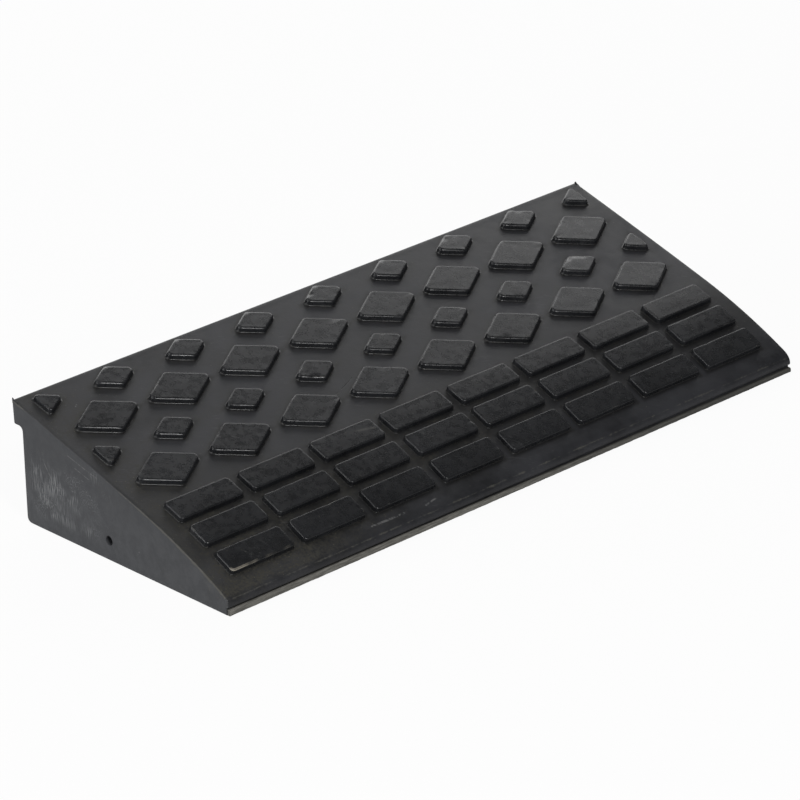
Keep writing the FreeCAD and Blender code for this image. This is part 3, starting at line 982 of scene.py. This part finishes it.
# Masks that say where the moulding is dusty, rubbed or streaked, where painted shade darkens it, and where
# its end faces are painted paler.


dustAndShadeZones = {
    # where each patch of dust or shade starts and where it is full
    "padGap": (0.9, 2.2),
    "padShade": (3.2, 0.6),
    "leftward": (260, -260),
    "barsBack": (125, 70),
    "barsFront": (26, 40),
    "leftMargin": (-225, -292),
    "toeCornerRun": (34, 20),
    "toeCornerSide": (-90, -270),
}


def paintMoulding(piece):
    where = vertexPlaces(piece)
    x, run, z = where[:, 0], where[:, 1] - toeLine, where[:, 2]
    deck = np.array([deckAt(min(max(r, 1.5), depth))[0] for r in run])
    onDeck = smoothStep(-1.4, -0.4, z - deck)
    nearest = np.full(len(x), 60.0)
    for kind, _, padX, padRun, way in padList:
        slope = deckAt(padRun)[1]
        close = (abs(x - padX) < 52) & (abs(run - padRun) < 40) & (onDeck > 0)
        along = (run[close] - padRun) / math.cos(slope)
        gap = distanceOutside(kind, way, x[close] - padX, along)
        nearest[close] = np.minimum(nearest[close], gap)
    patch = np.array([cloud(a, b, 0, 34, 5) for a, b in zip(x, run)]) * 0.5 + 0.5
    wide = np.array([cloud(a, b, 0, 120, 9) for a, b in zip(x, run)]) * 0.5 + 0.5
    byPads = np.exp(-np.maximum(nearest - 1.2, 0) / 3.0) * smoothStep(*dustAndShadeZones["padGap"], nearest)
    leftward = smoothStep(*dustAndShadeZones["leftward"], x)
    between = smoothStep(*dustAndShadeZones["barsBack"], run) * smoothStep(*dustAndShadeZones["barsFront"], run)
    # painted shade: contact shadow and grime in a dark band round each pad's foot, and painted shade on the
    # deck between the bars
    shade = np.maximum(smoothStep(*dustAndShadeZones["padShade"], nearest), between * (0.45 + 0.3 * patch))
    setMask(piece, "footShade", shade * onDeck)
    dust = byPads * (0.15 + 0.6 * patch) * (0.35 + 0.65 * leftward)
    dust += between * (0.1 + 0.4 * patch) * (0.3 + 0.6 * leftward)
    dust += smoothStep(*dustAndShadeZones["leftMargin"], x) * (0.1 + 0.5 * patch) * onDeck
    toeCorner = smoothStep(*dustAndShadeZones["toeCornerRun"], run) * smoothStep(*dustAndShadeZones["toeCornerSide"], x)
    dust += toeCorner * (0.75 + 0.5 * patch)
    dust += 0.25 * np.clip(wide - 0.5, 0, 1)
    setMask(piece, "dustFilm", dust * (0.15 + 0.85 * onDeck))
    fromEnd = halfLength - abs(x)
    endEdge = np.exp(-fromEnd / 0.9) * smoothStep(-3.5, -0.5, z - deck)
    endEdge *= 0.45 + 0.55 * smoothStep(190, 30, run) + 0.5 * smoothStep(225, 244, run)
    toeEdge = np.exp(-abs(run - 3.0) / 1.5) * smoothStep(6.5, 8.5, z) * smoothStep(16, 14, z) * 0.62
    kerbEdge = np.exp(-abs(run - depth) / 1.4) * smoothStep(-2.6, -0.6, z - deck) * 0.6
    setMask(piece, "wornEdge", np.maximum(np.maximum(endEdge, toeEdge), kerbEdge))
    onEnd = smoothStep(0.35, 0.0, fromEnd)
    # end faces painted paler, more so towards the bottom: blue-grey tone plus painted light from the left
    setMask(piece, "paleFace", onEnd * (0.62 + 0.38 * smoothStep(70, 20, z)))
    rubbedPatch = smoothStep(120, 175, run) * smoothStep(238, 226, run)
    rubbedPatch *= smoothStep(8, 18, z) * smoothStep(72, 50, z)
    nearDeck = smoothStep(140, 158, run) * smoothStep(196, 178, run)
    nearDeck *= smoothStep(16, 8, deck - z) * 0.8
    blotch = np.array([cloud(b, c, 0, 17, 6) for b, c in zip(run, z)]) * 1.1 + 0.6
    setMask(piece, "endStreaks", onEnd * np.clip(blotch, 0, 1) * np.maximum(rubbedPatch, nearDeck))


# The moulding strip along the toe.

strip = {
    "step": 2.0,
    "raggedness": 0.5,
    "height": 5.3,
}


def makeToeStrip(material):
    low, high = boxOf("toe_strip")
    section = [
        (5.8, 0.0), (5.8, 4.6), (3.9, 5.2), (2.4, strip["height"]), (1.2, 5.25), (0.6, 4.9),
        (0.3, 4.2), (0.2, 3.0), (0.25, 1.6), (0.5, 0.35), (1.1, 0.0), (3.4, 0.0),
    ]
    count = round((high.x - low.x - 1.6) / strip["step"])
    points, faces, seam, fade = [], [], [], []
    previous = None
    for index in range(count + 1):
        x = low.x + 0.8 + (high.x - low.x - 1.6) * index / count
        first = len(points)
        thin = 0.75 + 0.25 * smoothStep(120, -240, x)
        ragged = strip["raggedness"] * (cloud(x, 0, 0, 9, 1) + 0.7 * cloud(x, 0, 0, 3.1, 4))
        dip = 0.5 * max(cloud(x, 5, 0, 26, 7), 0)
        for run, height in section:
            frontness = smoothStep(3.5, 0.5, run)
            moved = run + frontness * (0.45 + ragged * 0.6 + 0.2 * cloud(x, height, 3, 1.9, 2))
            bump = frontness * 0.18 * cloud(x, height, 9, 2.3, 6) * (height > 1)
            lifted = height * (thin - 0.06 * dip) + bump
            points.append((x, moved + toeLine, max(lifted, 0.0)))
            # painted shadow where the skin's nose overhangs the strip's back top
            seam.append(float(smoothStep(1.6, 3.0, run)) * (height > 2))
            fade.append(float(smoothStep(-120, 260, x)) * 0.75)
        row = list(range(first, first + len(section)))
        if previous:
            bridge(faces, previous, row)
        else:
            faces.append(tuple(row))
        previous = row
    faces.append(tuple(reversed(previous)))
    piece = makePiece("toeStrip", points, faces, material, ["toe_strip"], 50)
    setMask(piece, "grimeSeam", seam)
    setMask(piece, "trimFade", fade)
    return piece


# Flash left standing on the kerb edge's corners.

flash = {
    "thickness": 0.7,
    # (run back from the kerb edge, height over the deck)
    "leftSpike": [
        (8.0, -0.6), (6.0, 0.3), (3.8, 0.2), (2.6, 0.7), (1.6, 0.6), (0.9, 1.3), (0.4, 1.45),
        (0.15, 0.5), (0.15, -3.0),
    ],
    "rightSpike": [(6.0, -0.6), (4.6, 0.2), (2.9, 0.4), (1.8, 0.9), (0.9, 1.2), (0.3, 0.4), (0.15, -2.0)],
}


def makeFlash(name, side, outline, material):
    points, faces = [], []
    thickness = flash["thickness"]
    for inset, shrink in ((0.12, 0.86), (0.3, 1.0), (thickness, 1.0), (thickness + 0.25, 0.8)):
        for back, over in outline:
            run = depth - back
            height = deckAt(run)[0] + (over * shrink if over > 0 else over)
            points.append((side * (halfLength - inset), run + toeLine, height))
    count = len(outline)
    loops = [list(range(index * count, (index + 1) * count)) for index in range(4)]
    for first, second in zip(loops, loops[1:]):
        bridge(faces, first, second)
    faces.append(tuple(reversed(loops[0])))
    faces.append(tuple(loops[-1]))
    return makePiece(name, points, faces, material, ["kerb_nosing"], 50)


# The raised pads.


def padPlace(x, run, across, along, height):
    # along follows the deck's slope, height stands square to it
    middle = run + along * math.cos(deckAt(run)[1])
    there, tilt = deckAt(min(max(middle, 2.0), depth))
    top = min(there + height * math.cos(tilt), cadBox[1][2] / mm - 0.02)
    return (x + across, middle - height * math.sin(tilt) + toeLine, top)


# chips and dents in one pad: direction round the pad in degrees, spread in degrees, depth
chips = {
    "small_diamond_front_7": [(95, 30, 1.1), (40, 16, 0.7)],
    "small_diamond_back_4": [(150, 14, 0.9)],
    "small_diamond_back_6": [(110, 16, 0.8)],
    "small_diamond_back_7": [(60, 12, 0.7), (170, 10, 0.5)],
    "large_diamond_back_4": [(20, 8, 0.7)],
    "large_diamond_front_6": [(215, 7, 0.6)],
    "small_diamond_front_3": [(235, 12, 0.6)],
}

creamBars = {("tread_bars_front_row", 1): 1.0}  # pads whose front edge is abraded to a pale band

padStyles = {
    # points along a side, and each kind's share of the tread's bevel, corner and foot flare
    "large": {"steps": 9, "bevel": 1.0, "corner": 1.0, "flare": 1.0},
    "small": {"steps": 7, "bevel": 1.1, "corner": 0.9, "flare": 1.0},
    "half": {"steps": 7, "bevel": 1.0, "corner": 0.7, "flare": 1.0},
    "bar": {"steps": 12, "bevel": 0.75, "corner": 0.8, "flare": 0.5},
}


def padLevels(height, bevel, flare):
    # inset from the foot, height, and how much of an edge each level is
    lean = math.tan(tread["draft"])
    levels = [(-flare, -0.5, 0.0)]
    for angle in (0, 22, 45, 68, 90):
        turn = math.radians(angle)
        levels.append((-flare * (1 - math.sin(turn)), 0.02 + flare * (1 - math.cos(turn)), 0.0))
    for share in (0.35, 0.7, 1.0):
        up = flare + (height - bevel - flare) * share
        levels.append((lean * (up - flare), up, 0.0))
    wallInset = levels[-1][0]
    for angle in (18, 36, 54, 72, 90):
        turn = math.radians(angle)
        edge = 0.5 + 0.5 * math.sin(turn) if angle < 90 else 0.75
        inset = wallInset + bevel * (1 - math.cos(turn)) * 0.92
        levels.append((inset, height - bevel * (1 - math.sin(turn)), edge))
    levels.append((levels[-1][0] + 0.9, height, 0.22))
    return levels


def chipDepth(point, share, pitted):
    # share runs from nothing at the pad's waist to one at its top
    aim = math.degrees(math.atan2(point.y * 1.5, point.x)) % 360
    total = 0.0
    for angle, spread, deep in pitted:
        off = (aim - angle + 180) % 360 - 180
        total += deep * math.exp(-(off / spread) ** 2) * share
    return total


def creamBand(x, point, edge):
    # strongest at the left, and broken up toward the right
    if not 0.55 < edge < 0.97:
        return 0.0
    frontness = smoothStep(-6.5, -9.0, point.y)
    towardsLeft = 0.35 + 0.65 * smoothStep(6, -24, point.x)
    patches = cloud(x + point.x, 0, 0, 3.3, 8) + 0.9 * smoothStep(0, -26, point.x) - 0.2
    return frontness * towardsLeft * smoothStep(-0.25, 0.2, patches) * 0.8


def makePad(kind, node, x, run, way, material, seed):
    rng = random.Random(seed)
    style = padStyles[kind]
    isBar = kind == "bar"
    corners = footprint(kind, way)
    height = tread["height"] * (1 + rng.uniform(-0.02, 0.02))
    bevel = tread["bevel"] * style["bevel"] * rng.uniform(0.92, 1.1)
    radius = tread["corner"] * style["corner"]
    pitted = [] if isBar else list(chips.get(node, []))
    pitted += [(rng.uniform(0, 360), rng.uniform(3, 7), rng.uniform(0.1, 0.35)) for _ in range(4)]
    cream = creamBars.get((node, way), 0.0) if isBar else 0.0
    waist = height * 0.45
    points, faces, loops = [], [], []
    masks = {"wornEdge": [], "footDust": [], "topDust": [], "creamEdge": []}
    for inset, up, edge in padLevels(height, bevel, tread["footFlare"] * style["flare"]):
        reach = max(radius - max(inset, 0) * 0.8, 0.8)
        flat = roundedOutline(insetCorners(corners, inset), reach, style["steps"])
        first = len(points)
        for point in flat:
            across, back = x + point.x, run + point.y
            wobble = 0.13 * cloud(across, back, up, 7, seed % 13)
            chip = chipDepth(point, smoothStep(waist, height, up), pitted) if up > waist else 0.0
            pull = 1 - (wobble + chip * 0.8) / max(point.length, 4)
            lower = chip * 0.55 * (1 if up > height * 0.8 else 0.3)
            points.append(padPlace(x, run, point.x * pull, point.y * pull, up - lower))
            worn = edge * (0.55 + 0.3 * cloud(across, back, 0, 11, 3)) + 0.5 * chip
            masks["wornEdge"].append(worn)
            masks["footDust"].append(float(smoothStep(height * 0.35, 0.0, up)) * 0.6)
            masks["topDust"].append(0.3 if up > height * 0.9 else 0.15)
            masks["creamEdge"].append(float(cream * creamBand(x, point, edge)) if cream else 0.0)
        loops.append(list(range(first, first + len(flat))))
    for scale in (0.82, 0.6, 0.38, 0.18):
        first = len(points)
        for point in flat:
            across, along = point.x * scale, point.y * scale
            crown = 0.07 * (1 - scale) + 0.05 * cloud(x + across, run + along, 0, 12, 2)
            points.append(padPlace(x, run, across, along, height + crown - 0.05))
            onTop = {"wornEdge": 0.03, "footDust": 0.0, "topDust": 0.42, "creamEdge": 0.0}
            for name, value in onTop.items():
                masks[name].append(value)
        loops.append(list(range(first, first + len(flat))))
    for lower, upper in zip(loops, loops[1:]):
        bridge(faces, lower, upper)
    faces.append(tuple(loops[-1]))
    faces.append(tuple(reversed(loops[0])))
    label = "".join(part.capitalize() for part in node.split("_"))
    label = label[0].lower() + label[1:] + ("_%d" % way if isBar else "")
    piece = makePiece(label, points, faces, material, [node], 60)
    for name, values in masks.items():
        setMask(piece, name, values)


# Marks placed one by one: from, to, width, wander.


def onDeck(x, run, lift=0.0):
    height, slope = deckAt(run)
    return (x, run + toeLine - lift * math.sin(slope), height + lift * math.cos(slope))


def onEnd(run, height):
    return (-halfLength, run + toeLine, height)


deckPaleMarks = [
    (onDeck(-150, 9.5), onDeck(-118, 9), 1.3, 1.0),
    (onDeck(-96, 8), onDeck(-84, 10), 1.0, 0.8),
    (onDeck(-263, 218), onDeck(-259, 221), 0.9, 0.5),
    (onEnd(150, 66), onEnd(184, 74), 0.6, 0.8),
    (onEnd(160, 62), onEnd(176, 66), 0.5, 0.6),
    (onEnd(104, 19), onEnd(106, 17), 0.9, 0.3),
    (onEnd(205, 44), onEnd(214, 58), 0.7, 1.0),
]
deckDarkMarks = [
    (onDeck(-50, 141), onDeck(-62, 136), 0.7, 1.6),
    (onDeck(-62, 136), onDeck(-77, 131), 0.6, 1.6),
    (onDeck(284, 160), onDeck(287, 157), 1.0, 0.6),
]
treadPaleMarks = [
    (onDeck(-96, 86, 4), onDeck(-80, 83, 4), 1.6, 2.0),
    (onDeck(-262, 30, 4), onDeck(-258, 24, 4), 0.8, 0.8),
]

deckFinish = makeMouldedRubber(deckPaleMarks, deckDarkMarks)
treadFinish = makeTreadRubber("treadRubber", treadPaleMarks, 0.2)
barFinish = makeTreadRubber("treadRubberDusty", treadPaleMarks, 0.35)
stripFinish = makeTrimmedRubber()
print("finishes built")

moulding = makeMoulding(deckFinish)
paintMoulding(moulding)
print("moulding built:", len(moulding.data.vertices), "points")
makeToeStrip(stripFinish)
makeFlash("leftFlash", -1, flash["leftSpike"], deckFinish)
makeFlash("rightFlash", 1, flash["rightSpike"], deckFinish)
for seed, (kind, node, x, run, way) in enumerate(padList):
    makePad(kind, node, x, run, way, barFinish if kind == "bar" else treadFinish, seed + 11)
print("pads built:", len(padList))


# Floor, light and camera.

studio = {
    "floorSize": 30.0,
    "floorSeen": (0.95, 0.95, 0.95, 1),
    "floorBounce": (0.70, 0.70, 0.70, 1),
    "floorDrop": 0.0002,  # metres under the ramp, so the two faces never share a plane
    "floorGlow": 0.94,  # how much of the floor is plain white to the camera
    "surround": 0.10,
    "lights": {
        # name: (location, aim, size, power)
        "overheadSoftbox": ((-0.7, 0.7, 2.4), (0.0, 0.0, 0.05), (1.8, 1.5), 11.0),
        "backRightSoftbox": ((1.75, 1.75, 1.5), (0.0, 0.0, 0.05), (2.4, 1.3), 19.0),
        "backdropGlow": ((0.8, 3.0, 0.55), (0.0, 0.0, 0.1), (4.8, 1.1), 26.0),
        "leftSoftbox": ((-2.7, 0.5, 0.9), (0.0, 0.0, 0.05), (1.8, 1.2), 27.0),
        "frontSoftbox": ((-1.0, -2.5, 1.75), (0.0, 0.0, 0.08), (0.6, 1.5), 46.0),
    },
}


def makeFloor():
    mesh = bpy.data.meshes.new("studioFloor")
    half = studio["floorSize"] / 2
    corners = [(-half, -half), (half, -half), (half, half), (-half, half)]
    mesh.from_pydata([(x, y, -studio["floorDrop"]) for x, y in corners], [], [(0, 1, 2, 3)])
    floor = bpy.data.objects.new("studioFloor", mesh)
    scene.collection.objects.link(floor)
    material = bpy.data.materials.new("studioPaper")
    material.use_nodes = True
    tree = material.node_tree
    tree.nodes.clear()
    out = addNode(tree, "OutputMaterial")
    rays = addNode(tree, "LightPath")
    tone = mixColour(tree, rays.outputs["Is Camera Ray"], studio["floorBounce"], studio["floorSeen"])
    paper = addNode(tree, "BsdfDiffuse", {"Color": tone})
    white = addNode(tree, "Emission", {"Color": (1, 1, 1, 1), "Strength": 1.0})
    seen = calc(tree, "MULTIPLY", rays.outputs["Is Camera Ray"], studio["floorGlow"])
    mixed = addNode(tree, "MixShader", {0: seen})
    tree.links.new(paper.outputs[0], mixed.inputs[1])
    tree.links.new(white.outputs[0], mixed.inputs[2])
    tree.links.new(mixed.outputs[0], out.inputs["Surface"])
    mesh.materials.append(material)


def makeWorld():
    world = bpy.data.worlds.new("studioSurround")
    world.use_nodes = True
    tree = world.node_tree
    tree.nodes.clear()
    out = addNode(tree, "OutputWorld")
    rays = addNode(tree, "LightPath")
    strength = calc(tree, "MAXIMUM", rays.outputs["Is Camera Ray"], studio["surround"])
    glow = addNode(tree, "Background", {"Color": (1, 1, 1, 1), "Strength": strength})
    tree.links.new(glow.outputs[0], out.inputs["Surface"])
    scene.world = world


def makeLight(name, location, target, size, power):
    data = bpy.data.lights.new(name, "AREA")
    data.shape = "RECTANGLE"
    data.size, data.size_y = size
    data.energy = power
    light = bpy.data.objects.new(name, data)
    light.location = location
    aim = Vector(target) - Vector(location)
    light.rotation_euler = aim.to_track_quat("-Z", "Y").to_euler()
    scene.collection.objects.link(light)


view = {
    "location": (-2.19384, -2.50552, 1.51965),
    "aim": (0.00007, 0.01811, 0.03254),
    "roll": -2.925,
    "lens": 207.56,
}


def makeCamera():
    data = bpy.data.cameras.new("viewCamera")
    data.lens = view["lens"]
    data.sensor_width = 36
    data.clip_end = 60
    camera = bpy.data.objects.new("viewCamera", data)
    back = (Vector(view["location"]) - Vector(view["aim"])).normalized()
    right = Vector((0, 0, 1)).cross(back).normalized()
    up = back.cross(right)
    turn = Matrix((right, up, back)).transposed().to_4x4()
    turn = turn @ Matrix.Rotation(math.radians(view["roll"]), 4, "Z")
    camera.matrix_world = Matrix.Translation(view["location"]) @ turn
    scene.collection.objects.link(camera)
    scene.camera = camera


makeFloor()
makeWorld()
for name, facts in studio["lights"].items():
    makeLight(name, *facts)
makeCamera()
scene.view_settings.view_transform = "Standard"
print("studio built")
